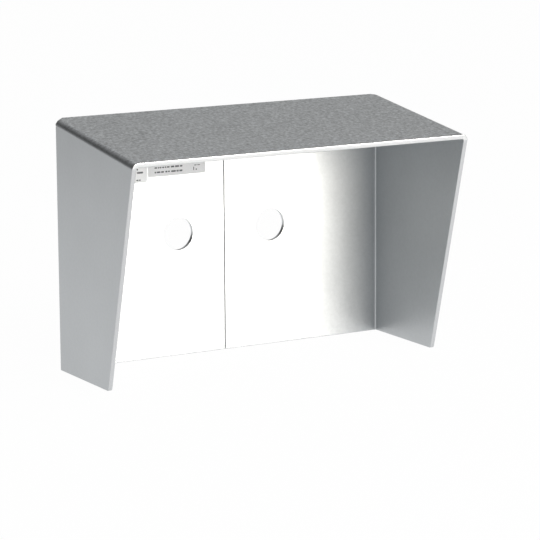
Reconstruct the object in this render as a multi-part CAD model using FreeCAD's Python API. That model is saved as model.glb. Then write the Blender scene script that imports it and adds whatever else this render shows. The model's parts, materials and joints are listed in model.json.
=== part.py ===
import FreeCAD, Part
import math
import os

from FreeCAD import Placement, Rotation, Vector

# Weather hood for a wall camera or door station, folded from one aluminium sheet.
# The roof falls towards the front. Two sides are bent down from it, and a return is bent
# inwards from the back edge of each side. The returns meet behind the sheltered space with
# a narrow joint between them, and each has a round hole for the cables.
# Two blank stickers are on the left return.
#
# Frame: X runs to the right as seen from the front, +Y points into the wall and Z is up.
# The origin is at the foot, under the middle of the outer sizes. Millimetres throughout.

# Outer sizes of the folded hood
width = 240.0               # over the outer faces of the sides
height = 161.5              # from the foot to the top of the roof at the wall
roof_depth = 108.5          # from the wall to the front edge of the roof
foot_depth = 70.5           # from the wall to the front of a side, at the foot
roof_fall = 8.0             # degrees that the roof drops towards the front

# Sheet and folds
sheet = 3.0                 # thickness of the aluminium
fold_radius = 1.0           # inner radius of all four folds
front_blend = 20.0          # rounding where the slant of a side runs into the roof's front cut
foot_corner = 1.5           # rounding of the front corner of a side, at the foot
edge_break = 0.4            # rounding that the deburring leaves on the cut edges

# Returns behind the sheltered space
joint_gap = 0.5             # between the two returns
roof_gap = 0.6              # between a return and the underside of the roof
hole_diameter = 22.0        # cable hole
hole_spacing = 68.5         # between the axes of the two cable holes
hole_height = 80.5          # from the foot to the axis of a cable hole

# Corner reliefs, where the roof, a side and a return meet
relief_width = 0.5          # height of the slot that is cut into the side
relief_reach = 0.6          # straight run of the slot past the upright fold

# Stickers on the left return
film = 0.12                 # thickness of a sticker
sticker_corner = 1.5        # rounding of a sticker's corners
sticker_drop = 18.5         # from the upper edge of the return to the top of the stickers
name_from_side = 30.0       # from the inner face of the side to the pale sticker
name_width = 31.0
name_height = 23.0
data_from_name = 0.4        # between the pale sticker and the grey one
data_width = 42.0
data_height = 20.0

# Values that follow from the sizes above
fall = math.radians(roof_fall)
outer_radius = fold_radius + sheet
half_width = width / 2
inner_x = half_width - sheet            # inner face of the sides
fold_x = half_width - outer_radius      # where the flat of the roof and of a return begins
wall_y = roof_depth / 2
face_y = wall_y - sheet     # front face of the returns
upright_fold_y = wall_y - outer_radius
roof_back_y = wall_y - sheet * math.sin(fall)
clear_of_part = height      # how far a cutting shape reaches past the part
touch = 1e-6                # a point this close to a face lies on it
least_turn = 0.05           # radians between the faces beside a cut edge, at least


def roof_top(y):
    """Height of the roof's upper face at a distance along Y."""
    return height + (y - roof_back_y) * math.tan(fall)


def roof_underside(y):
    """Height of the roof's lower face at a distance along Y."""
    return roof_top(y) - sheet / math.cos(fall)


def roof_fold_line(y):
    """Height at which the flat of a side begins, under the outer arc of the roof fold."""
    return roof_top(y) - outer_radius / math.cos(fall)


relief_radius = relief_width / 2
relief_end = outer_radius + relief_reach + relief_radius    # from the outer face
relief_end_y = wall_y - relief_end
relief_top = roof_fold_line(relief_end_y)
relief_foot = relief_top - relief_width
return_top = roof_underside(face_y) - roof_gap


def line(start, end):
    return Part.LineSegment(Vector(start), Vector(end)).toShape()


def arc(start, middle, end):
    return Part.Arc(Vector(start), Vector(middle), Vector(end)).toShape()


def face_of(edges):
    return Part.Face(Part.Wire(edges))


def quarter_middle(centre_u, centre_v, radius, sign_u):
    """Middle point of a fold's arc, in the plane of the folded section."""
    reach = radius * math.sqrt(0.5)
    return centre_u + sign_u * reach, centre_v + reach


def roof_section(leg):
    """Inverted U of roof, two folds and two legs, upright in the XZ plane, roof top at Z = 0."""
    outer_left = quarter_middle(-fold_x, -outer_radius, outer_radius, -1)
    outer_right = quarter_middle(fold_x, -outer_radius, outer_radius, 1)
    inner_left = quarter_middle(-fold_x, -outer_radius, fold_radius, -1)
    inner_right = quarter_middle(fold_x, -outer_radius, fold_radius, 1)

    def at(x, z):
        return x, 0, z

    edges = [
        line(at(-half_width, -leg), at(-half_width, -outer_radius)),
        arc(at(-half_width, -outer_radius), at(*outer_left), at(-fold_x, 0)),
        line(at(-fold_x, 0), at(fold_x, 0)),
        arc(at(fold_x, 0), at(*outer_right), at(half_width, -outer_radius)),
        line(at(half_width, -outer_radius), at(half_width, -leg)),
        line(at(half_width, -leg), at(inner_x, -leg)),
        line(at(inner_x, -leg), at(inner_x, -outer_radius)),
        arc(at(inner_x, -outer_radius), at(*inner_right), at(fold_x, -sheet)),
        line(at(fold_x, -sheet), at(-fold_x, -sheet)),
        arc(at(-fold_x, -sheet), at(*inner_left), at(-inner_x, -outer_radius)),
        line(at(-inner_x, -outer_radius), at(-inner_x, -leg)),
        line(at(-inner_x, -leg), at(-half_width, -leg)),
    ]
    return face_of(edges)


def leaning(angle):
    """Unit vector that points to the front and down by an angle."""
    return Vector(0, -math.cos(angle), -math.sin(angle))


def side_prism():
    """Outline of a side, with its relief slot, drawn in the YZ plane and run right across.

    In front it follows the front cut of the roof down to the fold, turns through the blend
    into the slant and ends in the rounded corner at the foot.
    """
    forward = Vector(0, -math.cos(fall), -math.sin(fall))
    upward = Vector(0, -math.sin(fall), math.cos(fall))
    foot_front = Vector(0, wall_y - foot_depth, 0)
    roof_front = Vector(0, wall_y - roof_depth, roof_top(wall_y - roof_depth))
    fold_front = roof_front - upward * outer_radius
    rise = fold_front - foot_front
    turn = math.copysign(1, math.atan2(-rise.y, rise.z) - fall)
    blend_centre = fold_front - forward * (turn * front_blend)
    reach = blend_centre - foot_front
    slant = math.atan2(-reach.y, reach.z) + turn * math.asin(front_blend / reach.Length)
    blend_middle = blend_centre + leaning(0.5 * (slant + fall)) * (turn * front_blend)
    slant_top = blend_centre + leaning(slant) * (turn * front_blend)

    corner_length = foot_corner / math.tan((math.pi / 2 + slant) / 2)
    corner_centre = foot_front + Vector(0, corner_length, foot_corner)
    slant_foot = corner_centre + leaning(slant) * foot_corner
    corner_middle = corner_centre + leaning(0.5 * (slant + math.pi / 2)) * foot_corner
    foot_start = corner_centre - Vector(0, 0, foot_corner)

    relief_arc_y = relief_end_y + relief_radius
    above_roof = height + outer_radius
    edges = [
        line((0, upright_fold_y, 0), foot_start),
        arc(foot_start, corner_middle, slant_foot),
        line(slant_foot, slant_top),
        arc(slant_top, blend_middle, fold_front),
        line(fold_front, roof_front + upward * outer_radius),
        line(roof_front + upward * outer_radius, (0, wall_y, above_roof)),
        line((0, wall_y, above_roof), (0, wall_y, relief_top)),
        line((0, wall_y, relief_top), (0, relief_arc_y, relief_top)),
        arc((0, relief_arc_y, relief_top), (0, relief_end_y, relief_foot + relief_radius),
            (0, relief_arc_y, relief_foot)),
        line((0, relief_arc_y, relief_foot), (0, upright_fold_y, relief_foot)),
        line((0, upright_fold_y, relief_foot), (0, upright_fold_y, 0)),
    ]
    prism = face_of(edges).extrude(Vector(width, 0, 0))
    prism.translate(Vector(-half_width, 0, 0))
    return prism


def roof_and_sides():
    """Roof section run down the fall of the roof, then cut to the outline of the sides."""
    folded = roof_section(height + roof_depth).extrude(Vector(0, -height - roof_depth, 0))
    tilt = Rotation(Vector(1, 0, 0), roof_fall)
    folded.Placement = Placement(Vector(0, roof_back_y, height), tilt)
    return folded.common(side_prism())


def return_section(side):
    """Upright fold and return of one side, seen from above. side is -1 on the left."""
    outer_middle = quarter_middle(fold_x, upright_fold_y, outer_radius, 1)
    inner_middle = quarter_middle(fold_x, upright_fold_y, fold_radius, 1)

    def at(x, y):
        return side * x, y, 0

    edges = [
        line(at(inner_x, upright_fold_y), at(half_width, upright_fold_y)),
        arc(at(half_width, upright_fold_y), at(*outer_middle), at(fold_x, wall_y)),
        line(at(fold_x, wall_y), at(joint_gap / 2, wall_y)),
        line(at(joint_gap / 2, wall_y), at(joint_gap / 2, face_y)),
        line(at(joint_gap / 2, face_y), at(fold_x, face_y)),
        arc(at(fold_x, face_y), at(*inner_middle), at(inner_x, upright_fold_y)),
    ]
    return face_of(edges)


def back_return(side):
    """One return with its upright fold, relieved beside the roof fold and holed for cables."""
    body = return_section(side).extrude(Vector(0, 0, return_top))
    relief_x = side * (half_width - relief_end + clear_of_part / 2)
    relief = Part.makeBox(clear_of_part, clear_of_part, clear_of_part,
                          Vector(relief_x - clear_of_part / 2, wall_y - clear_of_part / 2,
                                 relief_foot))
    hole = Part.makeCylinder(hole_diameter / 2, 2 * sheet,
                             Vector(side * hole_spacing / 2, face_y - sheet / 2, hole_height),
                             Vector(0, 1, 0))
    return body.cut(relief).cut(hole)


def middle_of(edge):
    return edge.valueAt((edge.FirstParameter + edge.LastParameter) / 2)


def is_rim(body, edge):
    """Whether an edge lies between a broad face of the sheet and a cut face."""
    middle = middle_of(edge)
    normals = []
    for face in body.ancestorsOfType(edge, Part.Face):
        u, v = face.Surface.parameter(middle)
        normals.append(face.normalAt(u, v))
    sharp = len(normals) == 2 and normals[0].getAngle(normals[1]) > least_turn
    through_sheet = isinstance(edge.Curve, Part.Line) and abs(edge.Length - sheet) < touch
    return sharp and not through_sheet


def deburred_edges(body):
    """Rims of the front, the foot, the joint and the upper ends of the returns."""
    chosen = []
    for edge in body.Edges:
        middle = middle_of(edge)
        before_relief = middle.y < relief_end_y - touch
        on_foot = abs(middle.z) < touch
        on_joint = abs(abs(middle.x) - joint_gap / 2) < touch
        on_return_top = abs(middle.z - return_top) < touch
        if (before_relief or on_foot or on_joint or on_return_top) and is_rim(body, edge):
            chosen.append(edge)
    return chosen


def hood():
    """The folded sheet as one solid, with its cut edges broken."""
    folded = roof_and_sides().fuse([back_return(-1), back_return(1)]).removeSplitter().Solids[0]
    return folded.makeFillet(min(edge_break, sheet / 4), deburred_edges(folded)).Solids[0]


def sticker(left_x, sticker_width, sticker_height):
    """Thin plate with rounded corners, flat on the front face of the left return."""
    top_z = return_top - sticker_drop
    plate = Part.makeBox(sticker_width, film, sticker_height,
                         Vector(left_x, face_y - film, top_z - sticker_height))
    through_film = [edge for edge in plate.Edges if abs(edge.Length - film) < touch]
    return plate.makeFillet(min(sticker_corner, sticker_height / 3), through_film)


def main():
    os.makedirs("parts", exist_ok=True)
    name_left = -half_width + sheet + name_from_side
    data_left = name_left + name_width + data_from_name
    shapes = {
        "hood": hood(),
        "name_sticker": sticker(name_left, name_width, name_height),
        "data_sticker": sticker(data_left, data_width, data_height),
    }
    for node, shape in shapes.items():
        print(node, shape.isValid(), len(shape.Solids), round(shape.Volume, 3))
        shape.exportStep(os.path.join("parts", node + ".step"))


main()
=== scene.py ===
import json
import math

import bmesh
import bpy
from bpy.props import FloatProperty, FloatVectorProperty, IntProperty, PointerProperty
from bpy.types import Operator, Panel, PropertyGroup
from mathutils import Matrix, Vector


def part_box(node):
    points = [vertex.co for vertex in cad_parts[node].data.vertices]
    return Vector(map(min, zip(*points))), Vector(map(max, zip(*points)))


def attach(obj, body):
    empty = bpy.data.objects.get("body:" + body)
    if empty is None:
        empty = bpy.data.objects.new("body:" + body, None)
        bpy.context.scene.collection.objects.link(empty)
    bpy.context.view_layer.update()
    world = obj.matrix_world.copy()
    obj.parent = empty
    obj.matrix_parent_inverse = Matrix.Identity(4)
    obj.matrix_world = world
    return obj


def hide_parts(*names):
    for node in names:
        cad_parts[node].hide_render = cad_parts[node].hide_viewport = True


bl_info = {
    "name": "Camera weather hood",
    "version": (1, 0, 0),
    "blender": (4, 5, 0),
    "location": "View3D > Sidebar > Hood",
    "description": "Models the looks of a folded aluminium weather hood around its CAD frame",
    "category": "Object",
}

# The row's frame: X to the right as seen from the front, +Y into the wall, Z up, in metres.
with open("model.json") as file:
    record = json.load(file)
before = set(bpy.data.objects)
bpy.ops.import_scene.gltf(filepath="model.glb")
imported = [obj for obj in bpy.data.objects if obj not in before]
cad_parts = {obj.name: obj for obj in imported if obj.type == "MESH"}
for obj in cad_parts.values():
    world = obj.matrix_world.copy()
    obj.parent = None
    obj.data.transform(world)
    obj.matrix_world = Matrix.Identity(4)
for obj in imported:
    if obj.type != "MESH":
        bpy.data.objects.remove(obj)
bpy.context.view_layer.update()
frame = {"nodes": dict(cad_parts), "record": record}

MM = 0.001
TOUCH = 2e-6                # points closer than this are taken as one place
RIGHT_ANGLE = math.pi / 2
SHARP = math.radians(40)    # edges that turn more than this are cut edges
CORNER_STEPS = 4            # short edges in a rounded corner of the outline
BREAK_STEPS = 3             # flat strips across a broken edge
CUT_SLOT = 1                # material slot of the cut edges
# Directions of the flats that round a corner where two folds meet, in degrees: turn from the side
# towards the wall, and rise.
FILE_STROKES = ((30, 0), (60, 0), (30, 30), (40, 50))
# Noise seldom leaves this range, and lies evenly about its middle.
NOISE_LOW, NOISE_MIDDLE, NOISE_HIGH = 0.3, 0.5, 0.7

HOOD_LOW, HOOD_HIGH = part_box("hood")
NAME_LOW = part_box("name_sticker")[0]
DATA_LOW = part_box("data_sticker")[0]


def mount(name):
    """One of the record's mounts."""
    return next(entry for entry in frame["record"]["mounts"] if entry["name"] == name)


WALL_Y = mount("wall_face")["pos_m"][1]
CABLE_HOLE = mount("right_cable_hole")


def linear(hex_colour):
    """Linear colour from an sRGB hex value."""
    channels = [int(hex_colour[i:i + 2], 16) / 255 for i in (1, 3, 5)]
    return [c / 12.92 if c <= 0.04045 else ((c + 0.055) / 1.055) ** 2.4 for c in channels]


def length(name, description, default):
    """A property in metres."""
    return FloatProperty(name=name, description=description, default=default,
                         subtype="DISTANCE", unit="LENGTH", precision=5)


def angle(name, description, degrees):
    """A property that is an angle, from its degrees."""
    return FloatProperty(name=name, description=description, default=math.radians(degrees),
                         subtype="ANGLE", unit="ROTATION")


def power(name, description, watts):
    """A property in watts."""
    return FloatProperty(name=name, description=description, default=watts,
                         subtype="POWER", unit="POWER")


def colour(name, description, hex_colour):
    """A property that is a colour, from its sRGB hex value."""
    return FloatVectorProperty(name=name, description=description, default=linear(hex_colour),
                               subtype="COLOR", size=3, min=0.0, max=1.0)


class SheetSettings(PropertyGroup):
    """Sizes and colours of the folded sheet."""

    width: length("Width", "Over the outer faces of the sides", HOOD_HIGH.x - HOOD_LOW.x)
    height: length("Height", "From the foot to the top of the roof at the wall", HOOD_HIGH.z)
    roof_depth: length("Roof depth", "From the wall to the front edge of the roof",
                       WALL_Y - HOOD_LOW.y)
    foot_depth: length("Foot depth", "From the wall to the front of a side at the foot",
                       70.5 * MM)
    fall: angle("Fall", "How much the roof drops towards the front", 8.0)
    thickness: length("Thickness", "Of the sheet", 3.0 * MM)
    fold_radius: length("Fold radius", "Inner radius of the folds", 1.0 * MM)
    fold_steps: IntProperty(name="Fold steps", description="Flat strips in one fold",
                            default=12, min=2)
    foot_corner: length("Foot corner", "Rounding of a side's front corner", 1.5 * MM)
    edge_break: length("Edge break", "Rounding left by the deburring", 0.4 * MM)
    joint_gap: length("Joint gap", "Between the two returns", 0.5 * MM)
    roof_gap: length("Roof gap", "Between a return and the underside of the roof", 0.6 * MM)
    relief_width: length("Relief width", "Height of the slot beside the upright fold", 0.5 * MM)
    relief_reach: length("Relief reach", "Straight run of the slot past the fold", 0.6 * MM)
    hole_radius: length("Cable hole radius", "Radius of the two cable holes",
                        CABLE_HOLE["dims"]["r_mm"] * MM)
    hole_x: length("Cable hole offset", "From the middle to the axis of a cable hole",
                   CABLE_HOLE["pos_m"][0])
    hole_z: length("Cable hole height", "From the foot to the axis of a cable hole",
                   CABLE_HOLE["pos_m"][2])
    hole_steps: IntProperty(name="Hole steps", description="Flat strips round a cable hole",
                            default=96, min=12)
    face_colour: colour("Face colour", "Blasted and anodised faces", "#B8BBBD")
    edge_colour: colour("Edge colour", "Cut edges", "#C3C5C7")

    @property
    def half_width(self):
        """From the middle to the outer face of a side."""
        return self.width / 2

    @property
    def outer(self):
        """Outer radius of the folds."""
        return self.fold_radius + self.thickness

    @property
    def fold_x(self):
        """Where the flat of the roof, or of a return, ends at the fold to a side."""
        return self.half_width - self.outer

    @property
    def upright_y(self):
        """Where the flat of a side ends at the upright fold."""
        return WALL_Y - self.outer

    @property
    def roof_back_y(self):
        """Back edge of the roof's upper face."""
        return WALL_Y - self.thickness * math.sin(self.fall)

    @property
    def relief_run(self):
        """From the end of a fold to the middle of the slot's round end."""
        return self.relief_reach + self.relief_width / 2

    @property
    def slot_top(self):
        """Height of the slot's upper edge."""
        return self.fold_line(self.upright_y - self.relief_run)

    @property
    def slot_foot(self):
        """Height of the slot's lower edge."""
        return self.slot_top - self.relief_width

    def fold_line(self, y):
        """Height at which the roof fold runs into the flat of a side, at a depth."""
        return (self.height + (y - self.roof_back_y) * math.tan(self.fall)
                - self.outer / math.cos(self.fall))


class LabelSettings(PropertyGroup):
    """Sizes and colours of the two stickers."""

    ink_height: length("Ink height", "How far the print stands on the film", 0.02 * MM)
    pale_colour: colour("Pale film", "Colour of the name sticker", "#ECECEC")
    grey_colour: colour("Grey film", "Colour of the data sticker", "#DCDCDD")
    ink_colour: colour("Ink", "Colour of the print", "#55575A")


class StageSettings(PropertyGroup):
    """Camera, light and floor."""

    azimuth: angle("Azimuth", "Turn of the camera about the upright, from the front", 29.851)
    elevation: angle("Elevation", "Height angle of the camera", 10.804)
    roll: angle("Roll", "Turn of the camera about its own axis", -0.331)
    distance: length("Distance", "From the origin to the camera, along its view", 1692.03 * MM)
    shift_right: length("Shift right", "Camera's place across its view", 3.85 * MM)
    shift_up: length("Shift up", "Camera's place up its view", 60.34 * MM)
    lens: FloatProperty(name="Lens", description="Focal length on a 36 mm sensor, in mm",
                        default=175.32, subtype="DISTANCE_CAMERA", unit="CAMERA")
    floor_colour: colour("Floor", "White paper", "#F6F6F6")
    floor_radius: length("Floor radius", "Of the round paper floor", 7.0)
    right_power: power("Right", "Softbox at the front right", 60.0)
    right_colour: colour("Right colour", "Of the right softbox", "#FFF9F0")
    room_power: power("Room", "Wide soft light from the front", 44.0)


def leave_edit():
    """Goes to object mode and selects nothing."""
    if bpy.context.object and bpy.context.object.mode != "OBJECT":
        bpy.ops.object.mode_set(mode="OBJECT")
    bpy.ops.object.select_all(action="DESELECT")


def use(piece):
    """Makes a piece the only selected and the active one, in object mode."""
    leave_edit()
    piece.select_set(True)
    bpy.context.view_layer.objects.active = piece


def edit(piece):
    """Goes to edit mode on one piece."""
    use(piece)
    bpy.ops.object.mode_set(mode="EDIT")


def pick(kind, test):
    """Selects, in edit mode, each VERT, EDGE or FACE whose corners all pass the test."""
    bpy.ops.mesh.select_mode(type=kind)
    bpy.ops.mesh.select_all(action="DESELECT")
    mesh = bpy.context.object.data
    shape = bmesh.from_edit_mesh(mesh)
    if kind == "VERT":
        chosen = [vert for vert in shape.verts if test(vert.co)]
    else:
        parts = shape.edges if kind == "EDGE" else shape.faces
        chosen = [part for part in parts if all(test(vert.co) for vert in part.verts)]
    if not chosen:
        raise RuntimeError("nothing lies where this step expects it")
    for part in chosen:
        part.select_set(True)
    shape.select_flush_mode()
    bmesh.update_edit_mesh(mesh)


def heights(test):
    """Heights of the points that pass the test, from the lowest up, in edit mode."""
    shape = bmesh.from_edit_mesh(bpy.context.object.data)
    return sorted(vert.co.z for vert in shape.verts if test(vert.co))


def near(value, wanted):
    return abs(value - wanted) < TOUCH


def move(x, y, z):
    bpy.ops.transform.translate(value=(x, y, z))


def draw_out(x, y, z):
    """Extrudes what is selected."""
    bpy.ops.mesh.extrude_region_move(TRANSFORM_OT_translate={"value": (x, y, z)})


def flatten(axis, place):
    """Brings what is selected into one plane across an axis (0 for X, 1 for Y, 2 for Z)."""
    factors = [0.0 if i == axis else 1.0 for i in range(3)]
    bpy.ops.transform.resize(value=factors, center_override=[place] * 3)


def fold(steps, centre, axis):
    """Bends the selected edges on through a right angle. With no window, spin turns backwards."""
    bpy.ops.mesh.spin(steps=steps, angle=-RIGHT_ANGLE, center=centre, axis=axis)


def apply_modifier(piece, kind, **settings):
    """Adds a modifier with its settings and applies it."""
    use(piece)
    modifier = piece.modifiers.new(kind.title(), kind)
    for name, value in settings.items():
        setattr(modifier, name, value)
    bpy.ops.object.modifier_apply(modifier=modifier.name)


def add_node(tree, kind, settings, links=(), levels=()):
    """Adds a node, sets its properties and sockets, and links (socket, source) pairs to it.

    A colour ramp also takes its levels, as (place, colour) pairs.
    """
    node = tree.nodes.new(kind)
    for name, value in settings.items():
        if isinstance(name, str) and hasattr(node, name):
            setattr(node, name, value)
        else:
            node.inputs[name].default_value = value
    for socket, source in links:
        tree.links.new(source, node.inputs[socket])
    for place, _ in levels[1:-1]:
        node.color_ramp.elements.new(place)
    for i, (place, rgb) in enumerate(levels):
        node.color_ramp.elements[i].position = place
        node.color_ramp.elements[i].color = (*rgb, 1.0)
    return node


def new_material(name):
    """A material with an empty tree."""
    material = bpy.data.materials.new(name)
    material.use_nodes = True
    material.node_tree.nodes.clear()
    return material, material.node_tree


def scaled(rgb, factor):
    return [min(1.0, c * factor) for c in rgb]


def cell(size):
    """Noise scale whose grains are about this many metres wide, on Object coordinates."""
    return 1.0 / size


# Blasted and anodised aluminium. The blasting leaves fine pits, so the sheet shows a soft satin
# light, and the oxide layer keeps it a little darker than bare metal. The pits show as a faint
# grain, made much stronger on the roof as painted glint: the sparkle of rough metal at a flat angle
# to light.
def blasted_aluminium(name, rgb):
    grain_width = 2.0 * MM              # real pits are near 0.1 mm, drawn coarser so that they show
    pit_depth = 0.04 * MM
    cloud_width = 45 * MM               # slow change of tone over the sheet
    darkest, lightest = 0.95, 1.05      # share of the colour over the clouds
    upright, level = 0.3, 0.9           # upward lean of a face where the painted glint begins, and where it is full
    upright_grain, grain_and_glint = 0.2, 2.3             # strength of the grain on each; on level faces most of it is painted glint
    smoothest, roughest = 0.35, 0.39
    material, tree = new_material(name)
    where = add_node(tree, "ShaderNodeTexCoord", {}).outputs
    grain = add_node(tree, "ShaderNodeTexNoise",
                     {"Scale": cell(grain_width), "Detail": 3.0, "Roughness": 0.7},
                     [("Vector", where["Object"])]).outputs["Fac"]
    cloud = add_node(tree, "ShaderNodeTexNoise",
                     {"Scale": cell(cloud_width), "Detail": 2.0, "Roughness": 0.5},
                     [("Vector", where["Object"])]).outputs["Fac"]
    lean = add_node(tree, "ShaderNodeSeparateXYZ", {}, [("Vector", where["Normal"])]).outputs["Z"]
    # The grain grows stronger as a face turns up: painted glint of rough metal at a flat angle to
    # the light.
    strength = add_node(tree, "ShaderNodeMapRange",
                        {"From Min": upright, "From Max": level, "To Min": upright_grain, "To Max": grain_and_glint},
                        [("Value", lean)]).outputs["Result"]
    middle = add_node(tree, "ShaderNodeMath", {"operation": "SUBTRACT", 1: NOISE_MIDDLE},
                      [(0, grain)]).outputs["Value"]
    spots = add_node(tree, "ShaderNodeMath", {"operation": "MULTIPLY"},
                     [(0, middle), (1, strength)]).outputs["Value"]
    slow = add_node(tree, "ShaderNodeMapRange", {"To Min": darkest, "To Max": lightest},
                    [("Value", cloud)]).outputs["Result"]
    factor = add_node(tree, "ShaderNodeMath", {"operation": "ADD"},
                      [(0, spots), (1, slow)]).outputs["Value"]
    tone = add_node(tree, "ShaderNodeVectorMath", {"operation": "SCALE", 0: rgb},
                    [("Scale", factor)]).outputs["Vector"]
    rough = add_node(tree, "ShaderNodeMapRange",
                     {"From Min": NOISE_LOW, "From Max": NOISE_HIGH,
                      "To Min": smoothest, "To Max": roughest},
                     [("Value", grain)]).outputs["Result"]
    bump = add_node(tree, "ShaderNodeBump", {"Strength": 0.5, "Distance": pit_depth},
                    [("Height", grain)]).outputs["Normal"]
    shader = add_node(tree, "ShaderNodeBsdfPrincipled", {"Metallic": 1.0},
                      [("Base Color", tone), ("Roughness", rough), ("Normal", bump)])
    add_node(tree, "ShaderNodeOutputMaterial", {}, [("Surface", shader.outputs["BSDF"])])
    return material


# Edge of laser-cut aluminium, deburred and anodised with the sheet. The beam leaves fine lines
# across the thickness, and the smoother cut looks brighter than the blasted faces.
def cut_aluminium(name, rgb):
    line_width = 0.5 * MM               # real lines are near 0.2 mm, drawn coarser so that they show
    line_depth = 0.02 * MM
    darkest, lightest = 0.95, 1.05      # share of the colour
    smoothest, roughest = 0.28, 0.35
    material, tree = new_material(name)
    where = add_node(tree, "ShaderNodeTexCoord", {}).outputs["Object"]
    lines = add_node(tree, "ShaderNodeTexNoise",
                     {"Scale": cell(line_width), "Detail": 1.0, "Roughness": 0.5},
                     [("Vector", where)]).outputs["Fac"]
    tone = add_node(tree, "ShaderNodeValToRGB", {}, [("Fac", lines)],
                    [(NOISE_LOW, scaled(rgb, darkest)),
                     (NOISE_HIGH, scaled(rgb, lightest))]).outputs["Color"]
    rough = add_node(tree, "ShaderNodeMapRange",
                     {"From Min": NOISE_LOW, "From Max": NOISE_HIGH,
                      "To Min": smoothest, "To Max": roughest},
                     [("Value", lines)]).outputs["Result"]
    bump = add_node(tree, "ShaderNodeBump", {"Strength": 0.2, "Distance": line_depth},
                    [("Height", lines)]).outputs["Normal"]
    shader = add_node(tree, "ShaderNodeBsdfPrincipled", {"Metallic": 1.0},
                      [("Base Color", tone), ("Roughness", rough), ("Normal", bump)])
    add_node(tree, "ShaderNodeOutputMaterial", {}, [("Surface", shader.outputs["BSDF"])])
    return material


# Coated polyester film. The coating is matt with a faint unevenness, so the label looks like
# satin paper and takes a soft shine at a flat angle.
def polyester_film(name, rgb):
    mottle_width = 0.8 * MM
    darkest, lightest = 0.97, 1.02      # share of the colour
    smoothest, roughest = 0.42, 0.52
    material, tree = new_material(name)
    where = add_node(tree, "ShaderNodeTexCoord", {}).outputs["Object"]
    mottle = add_node(tree, "ShaderNodeTexNoise",
                      {"Scale": cell(mottle_width), "Detail": 2.0, "Roughness": 0.5},
                      [("Vector", where)]).outputs["Fac"]
    tone = add_node(tree, "ShaderNodeValToRGB", {}, [("Fac", mottle)],
                    [(NOISE_LOW, scaled(rgb, darkest)),
                     (NOISE_HIGH, scaled(rgb, lightest))]).outputs["Color"]
    rough = add_node(tree, "ShaderNodeMapRange",
                     {"From Min": NOISE_LOW, "From Max": NOISE_HIGH,
                      "To Min": smoothest, "To Max": roughest},
                     [("Value", mottle)]).outputs["Result"]
    shader = add_node(tree, "ShaderNodeBsdfPrincipled", {"IOR": 1.5},
                      [("Base Color", tone), ("Roughness", rough)])
    add_node(tree, "ShaderNodeOutputMaterial", {}, [("Surface", shader.outputs["BSDF"])])
    return material


# Thermal transfer ink. It lies thin and matt on the film and covers it a little unevenly.
def transfer_ink(name, rgb):
    spot_width = 0.4 * MM
    darkest, lightest = 0.85, 1.2       # share of the colour where the ink covers well, and badly
    low, high = 0.35, 0.65              # noise at which it covers so
    material, tree = new_material(name)
    where = add_node(tree, "ShaderNodeTexCoord", {}).outputs["Object"]
    spots = add_node(tree, "ShaderNodeTexNoise", {"Scale": cell(spot_width), "Detail": 1.0},
                     [("Vector", where)]).outputs["Fac"]
    tone = add_node(tree, "ShaderNodeValToRGB", {}, [("Fac", spots)],
                    [(low, scaled(rgb, darkest)), (high, scaled(rgb, lightest))]).outputs["Color"]
    shader = add_node(tree, "ShaderNodeBsdfPrincipled", {"IOR": 1.5, "Roughness": 0.6},
                      [("Base Color", tone)])
    add_node(tree, "ShaderNodeOutputMaterial", {}, [("Surface", shader.outputs["BSDF"])])
    return material


def flat_roof(s, sheet):
    """A flat plate for half of the roof, with its back edge on the X axis."""
    run = (s.roof_back_y - WALL_Y + s.roof_depth) / math.cos(s.fall)
    to_upright = (s.roof_back_y + s.outer * math.sin(s.fall) - s.upright_y) / math.cos(s.fall)
    edit(sheet)
    bpy.ops.transform.resize(value=(s.fold_x, run, 1), center_override=(0, 0, 0))
    move(s.fold_x / 2, -run / 2, 0)
    bpy.ops.mesh.bisect(plane_co=(0, -to_upright, 0), plane_no=(0, 1, 0))


def bend_side(s):
    """Folds a side down from the roof, tilts both to the fall and draws the side's outline."""
    fold_front_y = WALL_Y - s.roof_depth + s.outer * math.sin(s.fall)
    set_back = WALL_Y - s.foot_depth - fold_front_y
    pick("EDGE", lambda co: near(co.x, s.fold_x))
    fold(s.fold_steps, (s.fold_x, 0, -s.outer), (0, 1, 0))
    bpy.ops.mesh.select_all(action="SELECT")
    bpy.ops.transform.rotate(value=-s.fall, orient_axis="X", center_override=(0, 0, 0))
    move(0, s.roof_back_y, s.height)

    pick("EDGE", lambda co: near(co.x, s.half_width) and co.y < s.upright_y + TOUCH)
    draw_out(0, 0, -s.height / 2)
    flatten(2, 0.0)
    pick("VERT", lambda co: near(co.z, 0) and co.y < s.upright_y - TOUCH)
    move(0, set_back, 0)
    lean = math.atan2(set_back, s.fold_line(fold_front_y))
    bpy.ops.mesh.bevel(affect="VERTICES", segments=CORNER_STEPS,
                       offset=s.foot_corner / math.tan((RIGHT_ANGLE + lean) / 2))


def cut_relief(s):
    """Cuts the round-ended slot that parts the roof fold from the upright fold."""
    end_y = s.upright_y - s.relief_run
    corners = ((s.upright_y, s.slot_foot), (end_y, s.slot_foot),
               (end_y, s.slot_top), (s.upright_y, s.slot_top))

    def back_edge(co):
        return near(co.x, s.half_width) and near(co.y, s.upright_y)

    pick("EDGE", back_edge)
    bpy.ops.mesh.subdivide(number_cuts=len(corners))
    for now, (y, z) in zip(heights(back_edge)[1:-1], corners):
        pick("VERT", lambda co: back_edge(co) and near(co.z, now))
        move(0, y - s.upright_y, z - now)
    pick("VERT", lambda co: near(co.x, s.half_width) and near(co.y, end_y)
         and co.z > s.slot_foot - TOUCH)
    bpy.ops.mesh.bevel(affect="VERTICES", segments=CORNER_STEPS, offset=s.relief_width / 2)
    bpy.ops.mesh.remove_doubles(threshold=TOUCH)

    pick("EDGE", lambda co: near(co.x, s.half_width) and co.y > s.upright_y - TOUCH
         and co.z > s.slot_top + TOUCH)
    draw_out(0, 0, -s.relief_width)
    flatten(2, s.slot_top)


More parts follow.
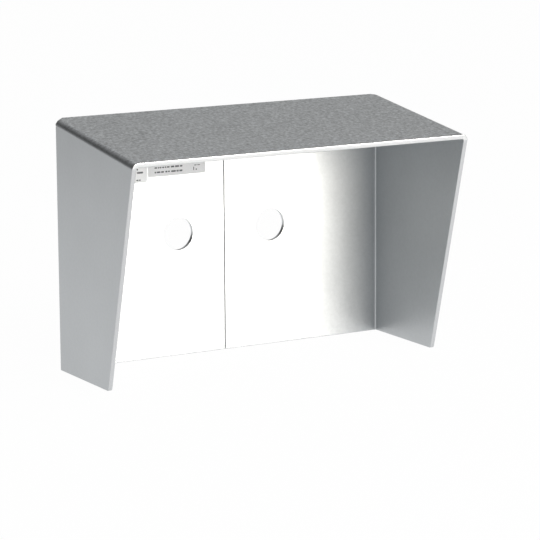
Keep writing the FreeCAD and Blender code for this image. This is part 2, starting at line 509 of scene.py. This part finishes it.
def bend_return(s):
    """Folds the return inwards from the side, with the notch that clears the roof fold."""
    notch_x = s.fold_x - s.relief_run
    inner_back = WALL_Y - s.thickness
    under_roof = (s.height + (inner_back - s.roof_back_y) * math.tan(s.fall)
                  - s.thickness / math.cos(s.fall))
    pick("EDGE", lambda co: near(co.x, s.half_width) and near(co.y, s.upright_y)
         and co.z < s.slot_foot + TOUCH)
    fold(s.fold_steps, (s.fold_x, s.upright_y, 0), (0, 0, 1))
    for now, place in ((s.fold_x, notch_x), (notch_x, s.joint_gap / 2)):
        pick("EDGE", lambda co: near(co.y, WALL_Y) and near(co.x, now))
        draw_out(place - now, 0, 0)
    pick("EDGE", lambda co: near(co.y, WALL_Y) and near(co.z, s.slot_foot)
         and co.x < notch_x + TOUCH)
    draw_out(0, 0, under_roof - s.roof_gap - s.slot_foot)


def close_shell(sheet):
    """Mirrors the half sheet and turns its faces outwards."""
    apply_modifier(sheet, "MIRROR", merge_threshold=TOUCH)
    edit(sheet)
    bpy.ops.mesh.select_all(action="SELECT")
    bpy.ops.mesh.remove_doubles(threshold=TOUCH)
    bpy.ops.mesh.normals_make_consistent(inside=False)
    shape = bmesh.from_edit_mesh(sheet.data)
    roof = max(shape.faces, key=lambda face: face.calc_center_median().z)
    if roof.normal.z < 0:
        bpy.ops.mesh.flip_normals()
    leave_edit()


def cut_back_flush(sheet):
    """Brings the ends of the roof fold back to the wall face."""
    edit(sheet)
    pick("VERT", lambda co: co.y > WALL_Y + TOUCH)
    flatten(1, WALL_Y)
    leave_edit()


def round_fold_ends(s, sheet):
    """Files the ends of the roof fold round, flush with the upright folds under them."""
    for side in (-1, 1):
        centre = Vector((side * s.fold_x, s.upright_y, s.fold_line(s.upright_y)))
        for degrees in FILE_STROKES:
            turn, rise = map(math.radians, degrees)
            across = Vector((side * math.cos(turn) * math.cos(rise),
                             math.sin(turn) * math.cos(rise), math.sin(rise)))
            edit(sheet)
            pick("FACE", lambda co: side * co.x > -TOUCH and co.z > s.slot_top - TOUCH)
            bpy.ops.mesh.bisect(plane_co=centre + across * s.outer, plane_no=across,
                                use_fill=True, clear_outer=True)
    leave_edit()


def punch_hole(s, sheet, side):
    """Cuts one cable hole through a return. The cutter carries the cut metal to the hole."""
    cutter_length = 3 * s.thickness     # stands out of the sheet on both sides
    leave_edit()
    bpy.ops.mesh.primitive_cylinder_add(
        vertices=s.hole_steps, radius=s.hole_radius, depth=cutter_length,
        location=(side * s.hole_x, WALL_Y - s.thickness / 2, s.hole_z),
        rotation=(RIGHT_ANGLE, 0, 0))
    cutter = bpy.context.object
    for material in sheet.data.materials:
        cutter.data.materials.append(material)
    edit(cutter)
    bpy.ops.mesh.select_all(action="SELECT")
    cutter.active_material_index = CUT_SLOT
    bpy.ops.object.material_slot_assign()
    apply_modifier(sheet, "BOOLEAN", object=cutter, operation="DIFFERENCE", solver="EXACT")
    use(cutter)
    bpy.ops.object.delete()


def break_edges(s, sheet):
    """Rounds the cut edges but for those of the reliefs, cable holes and roof's back edge."""
    reach = s.outer + s.relief_run

    def stays_sharp(co):
        in_relief = (abs(co.x) > s.half_width - reach - TOUCH and co.y > WALL_Y - reach - TOUCH
                     and co.z > s.slot_foot - TOUCH)
        at_roof_back = co.y > s.roof_back_y - TOUCH and co.z > s.height - s.thickness
        from_axis = math.hypot(abs(co.x) - s.hole_x, co.z - s.hole_z)
        return in_relief or at_roof_back or from_axis < s.hole_radius + TOUCH

    edit(sheet)
    bpy.ops.mesh.select_mode(type="EDGE")
    bpy.ops.mesh.select_all(action="DESELECT")
    bpy.ops.mesh.edges_select_sharp(sharpness=SHARP)
    shape = bmesh.from_edit_mesh(sheet.data)
    for edge in shape.edges:
        if edge.select and any(stays_sharp(vert.co) for vert in edge.verts):
            edge.select_set(False)
    bmesh.update_edit_mesh(sheet.data)
    bpy.ops.mesh.bevel(affect="EDGES", offset=s.edge_break, segments=BREAK_STEPS)
    leave_edit()


class HOOD_OT_sheet(Operator):
    """Fold the hood from one flat sheet"""

    bl_idname = "hood.sheet"
    bl_label = "Folded sheet"

    def execute(self, context):
        s = context.scene.hood_sheet
        leave_edit()
        bpy.ops.mesh.primitive_plane_add(size=1)
        sheet = context.object
        sheet.name = sheet.data.name = "hood_sheet"
        sheet.data.materials.append(blasted_aluminium("blasted_anodised_aluminium",
                                                      s.face_colour))
        sheet.data.materials.append(cut_aluminium("cut_anodised_aluminium", s.edge_colour))
        flat_roof(s, sheet)
        bend_side(s)
        cut_relief(s)
        bend_return(s)
        close_shell(sheet)
        apply_modifier(sheet, "SOLIDIFY", thickness=s.thickness, offset=-1.0,
                       use_even_offset=True, material_offset_rim=CUT_SLOT)
        cut_back_flush(sheet)
        round_fold_ends(s, sheet)
        for side in (-1, 1):
            punch_hole(s, sheet, side)
        break_edges(s, sheet)
        use(sheet)
        bpy.ops.object.shade_smooth_by_angle(angle=SHARP)
        apply_modifier(sheet, "WEIGHTED_NORMAL", keep_sharp=True)
        # Nothing reads the plane's UV map, and the cuts leave it a little different each run.
        bpy.ops.mesh.uv_texture_remove()
        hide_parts("hood")
        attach(sheet, "root")
        return {"FINISHED"}


# Print of plain dashes, in millimetres from the middle of the hood and from its foot. Each line of
# it is (low, height, dashes), and each dash (left, width).
NAME_LINES = ((124.2, 1.2, ((-63.7, 1.0),)),
              (122.0, 1.2, ((-63.5, 4.4),)),
              (117.3, 0.9, ((-64.0, 1.5), (-62.1, 1.2))))
DATA_LINES = ((124.3, 0.9, ((-50.8, 1.9), (-48.4, 0.9), (-47.1, 1.2), (-45.2, 1.4), (-43.3, 1.0),
                            (-41.8, 1.9))),
              (124.2, 1.1, ((-39.0, 2.5), (-36.0, 3.1), (-32.4, 1.8))),
              (121.3, 1.0, ((-50.8, 1.2), (-49.2, 2.6), (-46.1, 2.1), (-43.0, 1.5), (-41.0, 1.2))),
              (121.2, 1.1, ((-38.8, 3.4), (-34.9, 1.6), (-32.8, 2.2))),
              (121.2, 2.2, ((-22.6, 0.6),)),
              (121.2, 0.9, ((-20.9, 0.9),)),
              (124.2, 0.5, ((-22.0, 1.9), (-19.6, 2.0))))


def print_on(name, lines, face_y, ink_height, material):
    """Prints dashes on a sticker: one rounded dash is modelled, then copied to each place.

    Joining takes the copies in no fixed order, so the mesh is sorted afterwards.
    """
    corner = 0.2        # share of a dash's side taken by a rounded corner
    corner_steps = 2
    leave_edit()
    bpy.ops.mesh.primitive_plane_add(size=1, rotation=(RIGHT_ANGLE, 0, 0))
    first = bpy.context.object
    bpy.ops.object.transform_apply(location=False, rotation=True, scale=False)
    edit(first)
    bpy.ops.mesh.select_mode(type="VERT")
    bpy.ops.mesh.select_all(action="SELECT")
    bpy.ops.mesh.bevel(affect="VERTICES", segments=corner_steps, offset=corner)
    bpy.ops.mesh.select_all(action="SELECT")
    draw_out(0, -1, 0)
    bpy.ops.mesh.select_all(action="SELECT")
    bpy.ops.mesh.normals_make_consistent(inside=False)
    leave_edit()
    first.data.materials.append(material)
    copies = []
    for low, height, row in lines:
        for left, width in row:
            use(first)
            bpy.ops.object.duplicate(linked=False)
            dash = bpy.context.object
            dash.scale = (width * MM, ink_height, height * MM)
            dash.location = ((left + width / 2) * MM, face_y, (low + height / 2) * MM)
            copies.append(dash)
    use(first)
    bpy.ops.object.delete()
    for dash in copies:
        dash.select_set(True)
    bpy.context.view_layer.objects.active = copies[0]
    bpy.ops.object.join()
    bpy.ops.object.transform_apply(location=True, rotation=True, scale=True)
    piece = bpy.context.object
    piece.name = piece.data.name = name
    edit(piece)
    bpy.ops.mesh.select_all(action="SELECT")
    bpy.ops.mesh.sort_elements(type="CURSOR_DISTANCE", elements={"VERT", "EDGE", "FACE"})
    leave_edit()
    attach(piece, "root")


def cover(node, material):
    """Gives a CAD node a material."""
    data = frame["nodes"][node].data
    data.materials.clear()
    data.materials.append(material)


class HOOD_OT_labels(Operator):
    """Finish the two stickers and print plain dashes on them"""

    bl_idname = "hood.labels"
    bl_label = "Stickers and print"

    def execute(self, context):
        s = context.scene.hood_labels
        cover("name_sticker", polyester_film("pale_polyester_film", s.pale_colour))
        cover("data_sticker", polyester_film("grey_polyester_film", s.grey_colour))
        ink = transfer_ink("transfer_ink", s.ink_colour)
        print_on("name_print", NAME_LINES, NAME_LOW.y, s.ink_height, ink)
        print_on("data_print", DATA_LINES, DATA_LOW.y, s.ink_height, ink)
        return {"FINISHED"}


# Brightness of the studio's walls and ceiling by the sine of the height angle: light low down, a
# dark strip, a ring of light halfway up and a softly lit ceiling.
SKY = ((0.0, 1.0), (0.15, 0.6), (0.35, 0.08), (0.55, 1.04), (0.75, 0.3), (1.0, 0.7))
# The studio is dimmer on the left. Its light falls from full, in directions whose X is DIM_RIGHT, to
# this share at DIM_LEFT.
DIM_LEFT, DIM_RIGHT, DIM_SHARE = -0.3, 0.3, 0.3
LAMP_TARGET = (0.0, 0.05, 0.08)
# Softboxes: direction from the target, distance and side of the square, in metres.
RIGHT_BOX = ((0.3, -0.85, 0.25), 1.5, 0.7)
ROOM_BOX = ((0.2, -0.9, 0.4), 2.0, 2.0)
FLOOR_STEPS = 96                    # short edges round the floor
SENSOR_WIDTH = 36.0                 # in mm
VIEW_NEAR, VIEW_FAR = 0.01, 50.0    # what the camera shows, in metres from it


def build_world():
    world = bpy.data.worlds.new("studio")
    bpy.context.scene.world = world
    world.use_nodes = True
    tree = world.node_tree
    tree.nodes.clear()
    where = add_node(tree, "ShaderNodeTexCoord", {}).outputs["Generated"]
    split = add_node(tree, "ShaderNodeSeparateXYZ", {}, [("Vector", where)]).outputs
    tone = add_node(tree, "ShaderNodeValToRGB", {}, [("Fac", split["Z"])],
                    [(place, [level] * 3) for place, level in SKY]).outputs["Color"]
    side = add_node(tree, "ShaderNodeMapRange",
                    {"From Min": DIM_LEFT, "From Max": DIM_RIGHT, "To Min": DIM_SHARE},
                    [("Value", split["X"])]).outputs["Result"]
    walls = add_node(tree, "ShaderNodeBackground", {}, [("Color", tone), ("Strength", side)])
    white = add_node(tree, "ShaderNodeBackground", {"Color": (1, 1, 1, 1)})
    ray = add_node(tree, "ShaderNodeLightPath", {}).outputs
    seen = add_node(tree, "ShaderNodeMath", {"operation": "MAXIMUM"},
                    [(0, ray["Is Camera Ray"]), (1, ray["Is Transmission Ray"])])
    both = add_node(tree, "ShaderNodeMixShader", {},
                    [(0, seen.outputs["Value"]), (1, walls.outputs["Background"]),
                     (2, white.outputs["Background"])])
    add_node(tree, "ShaderNodeOutputWorld", {}, [("Surface", both.outputs["Shader"])])


# Matt white paper. Seen straight it is white all over, in the metal it is white near the hood and
# falls into the dark of the studio further out, and it keeps a soft shadow.
def white_paper(name, rgb):
    glow_share = 0.98       # the rest is lit by the lamps and takes the shadow
    lit_reach = 0.8         # metres from the middle up to which the metal mirrors it as white
    lit_end = 2.4           # metres from the middle from which the metal mirrors it as dark
    grain_width = 2 * MM    # real fibres are near 0.1 mm, drawn coarser so that they show
    darkest = 0.99          # share of the colour
    material, tree = new_material(name)
    where = add_node(tree, "ShaderNodeTexCoord", {}).outputs["Object"]
    away = add_node(tree, "ShaderNodeVectorMath", {"operation": "LENGTH"}, [(0, where)])
    level = add_node(tree, "ShaderNodeMapRange",
                     {"From Min": lit_reach, "From Max": lit_end, "To Min": 1.0, "To Max": 0.0},
                     [("Value", away.outputs["Value"])]).outputs["Result"]
    ray = add_node(tree, "ShaderNodeLightPath", {}).outputs
    indirect = add_node(tree, "ShaderNodeMath", {"operation": "MAXIMUM"},
                        [(0, ray["Is Glossy Ray"]), (1, ray["Is Transmission Ray"])])
    mirrored = add_node(tree, "ShaderNodeMath", {"operation": "MULTIPLY"},
                        [(0, indirect.outputs["Value"]), (1, level)])
    seen = add_node(tree, "ShaderNodeMath", {"operation": "MAXIMUM"},
                    [(0, ray["Is Camera Ray"]), (1, mirrored.outputs["Value"])])
    glow = add_node(tree, "ShaderNodeMath", {"operation": "MULTIPLY", 1: glow_share},
                    [(0, seen.outputs["Value"])]).outputs["Value"]
    grain = add_node(tree, "ShaderNodeTexNoise", {"Scale": cell(grain_width), "Detail": 2.0},
                     [("Vector", where)]).outputs["Fac"]
    tone = add_node(tree, "ShaderNodeValToRGB", {}, [("Fac", grain)],
                    [(NOISE_LOW, scaled(rgb, darkest)), (NOISE_HIGH, rgb)]).outputs["Color"]
    paper = add_node(tree, "ShaderNodeBsdfDiffuse", {}, [("Color", tone)]).outputs["BSDF"]
    white = add_node(tree, "ShaderNodeEmission", {}).outputs["Emission"]
    both = add_node(tree, "ShaderNodeMixShader", {}, [(0, glow), (1, paper), (2, white)])
    add_node(tree, "ShaderNodeOutputMaterial", {}, [("Surface", both.outputs["Shader"])])
    return material


def softbox(name, direction, distance, size, watts):
    """A square area light that looks at the hood from a direction."""
    leave_edit()
    target = Vector(LAMP_TARGET)
    place = target + Vector(direction).normalized() * distance
    bpy.ops.object.light_add(type="AREA", location=place)
    lamp = bpy.context.object
    lamp.name = name
    lamp.rotation_euler = (place - target).to_track_quat("Z", "Y").to_euler()
    lamp.data.shape = "SQUARE"
    lamp.data.size = size
    lamp.data.energy = watts
    lamp.visible_camera = False
    return lamp


def place_camera(s):
    """Puts the camera where the photograph was taken from."""
    back = Vector((-math.sin(s.azimuth) * math.cos(s.elevation),
                   -math.cos(s.azimuth) * math.cos(s.elevation), math.sin(s.elevation)))
    level = Vector((math.cos(s.azimuth), -math.sin(s.azimuth), 0.0))
    upright = back.cross(level)
    right = math.cos(s.roll) * level + math.sin(s.roll) * upright
    up = math.cos(s.roll) * upright - math.sin(s.roll) * level
    bpy.ops.object.camera_add()
    camera = bpy.context.object
    camera.name = "photo_camera"
    turn = Matrix((right, up, back)).transposed().to_4x4()
    place = back * s.distance + right * s.shift_right + up * s.shift_up
    camera.matrix_world = Matrix.Translation(place) @ turn
    camera.data.sensor_width = SENSOR_WIDTH
    camera.data.lens = s.lens
    camera.data.clip_start = VIEW_NEAR
    camera.data.clip_end = VIEW_FAR
    bpy.context.scene.camera = camera


class HOOD_OT_stage(Operator):
    """Set the paper floor, the soft lights and the camera"""

    bl_idname = "hood.stage"
    bl_label = "Stage"

    def execute(self, context):
        s = context.scene.hood_stage
        leave_edit()
        bpy.ops.mesh.primitive_circle_add(vertices=FLOOR_STEPS, radius=s.floor_radius,
                                          fill_type="NGON")
        floor = context.object
        floor.name = floor.data.name = "paper_floor"
        floor.data.materials.append(white_paper("matt_white_paper", s.floor_colour))
        build_world()
        right = softbox("right", *RIGHT_BOX, s.right_power)
        right.data.color = s.right_colour
        right.visible_diffuse = False
        room = softbox("room", *ROOM_BOX, s.room_power)
        room.visible_glossy = False
        place_camera(s)
        context.scene.view_settings.view_transform = "Standard"
        return {"FINISHED"}


class HOOD_PT_panel(Panel):
    """Lists the pieces of the hood and their sizes"""

    bl_label = "Camera weather hood"
    bl_idname = "HOOD_PT_panel"
    bl_space_type = "VIEW_3D"
    bl_region_type = "UI"
    bl_category = "Hood"

    def draw(self, context):
        scene = context.scene
        groups = ((HOOD_OT_sheet, scene.hood_sheet), (HOOD_OT_labels, scene.hood_labels),
                  (HOOD_OT_stage, scene.hood_stage))
        for operator, settings in groups:
            box = self.layout.box()
            box.operator(operator.bl_idname)
            for name in settings.__annotations__:
                box.prop(settings, name)


GROUPS = {"hood_sheet": SheetSettings, "hood_labels": LabelSettings, "hood_stage": StageSettings}
CLASSES = (*GROUPS.values(), HOOD_OT_sheet, HOOD_OT_labels, HOOD_OT_stage, HOOD_PT_panel)


def register():
    for cls in CLASSES:
        bpy.utils.register_class(cls)
    for name, group in GROUPS.items():
        setattr(bpy.types.Scene, name, PointerProperty(type=group))


def unregister():
    for name in GROUPS:
        delattr(bpy.types.Scene, name)
    for cls in reversed(CLASSES):
        bpy.utils.unregister_class(cls)


def main():
    register()
    bpy.ops.hood.sheet()
    bpy.ops.hood.labels()
    bpy.ops.hood.stage()
    leave_edit()


if __name__ == "__main__":
    main()
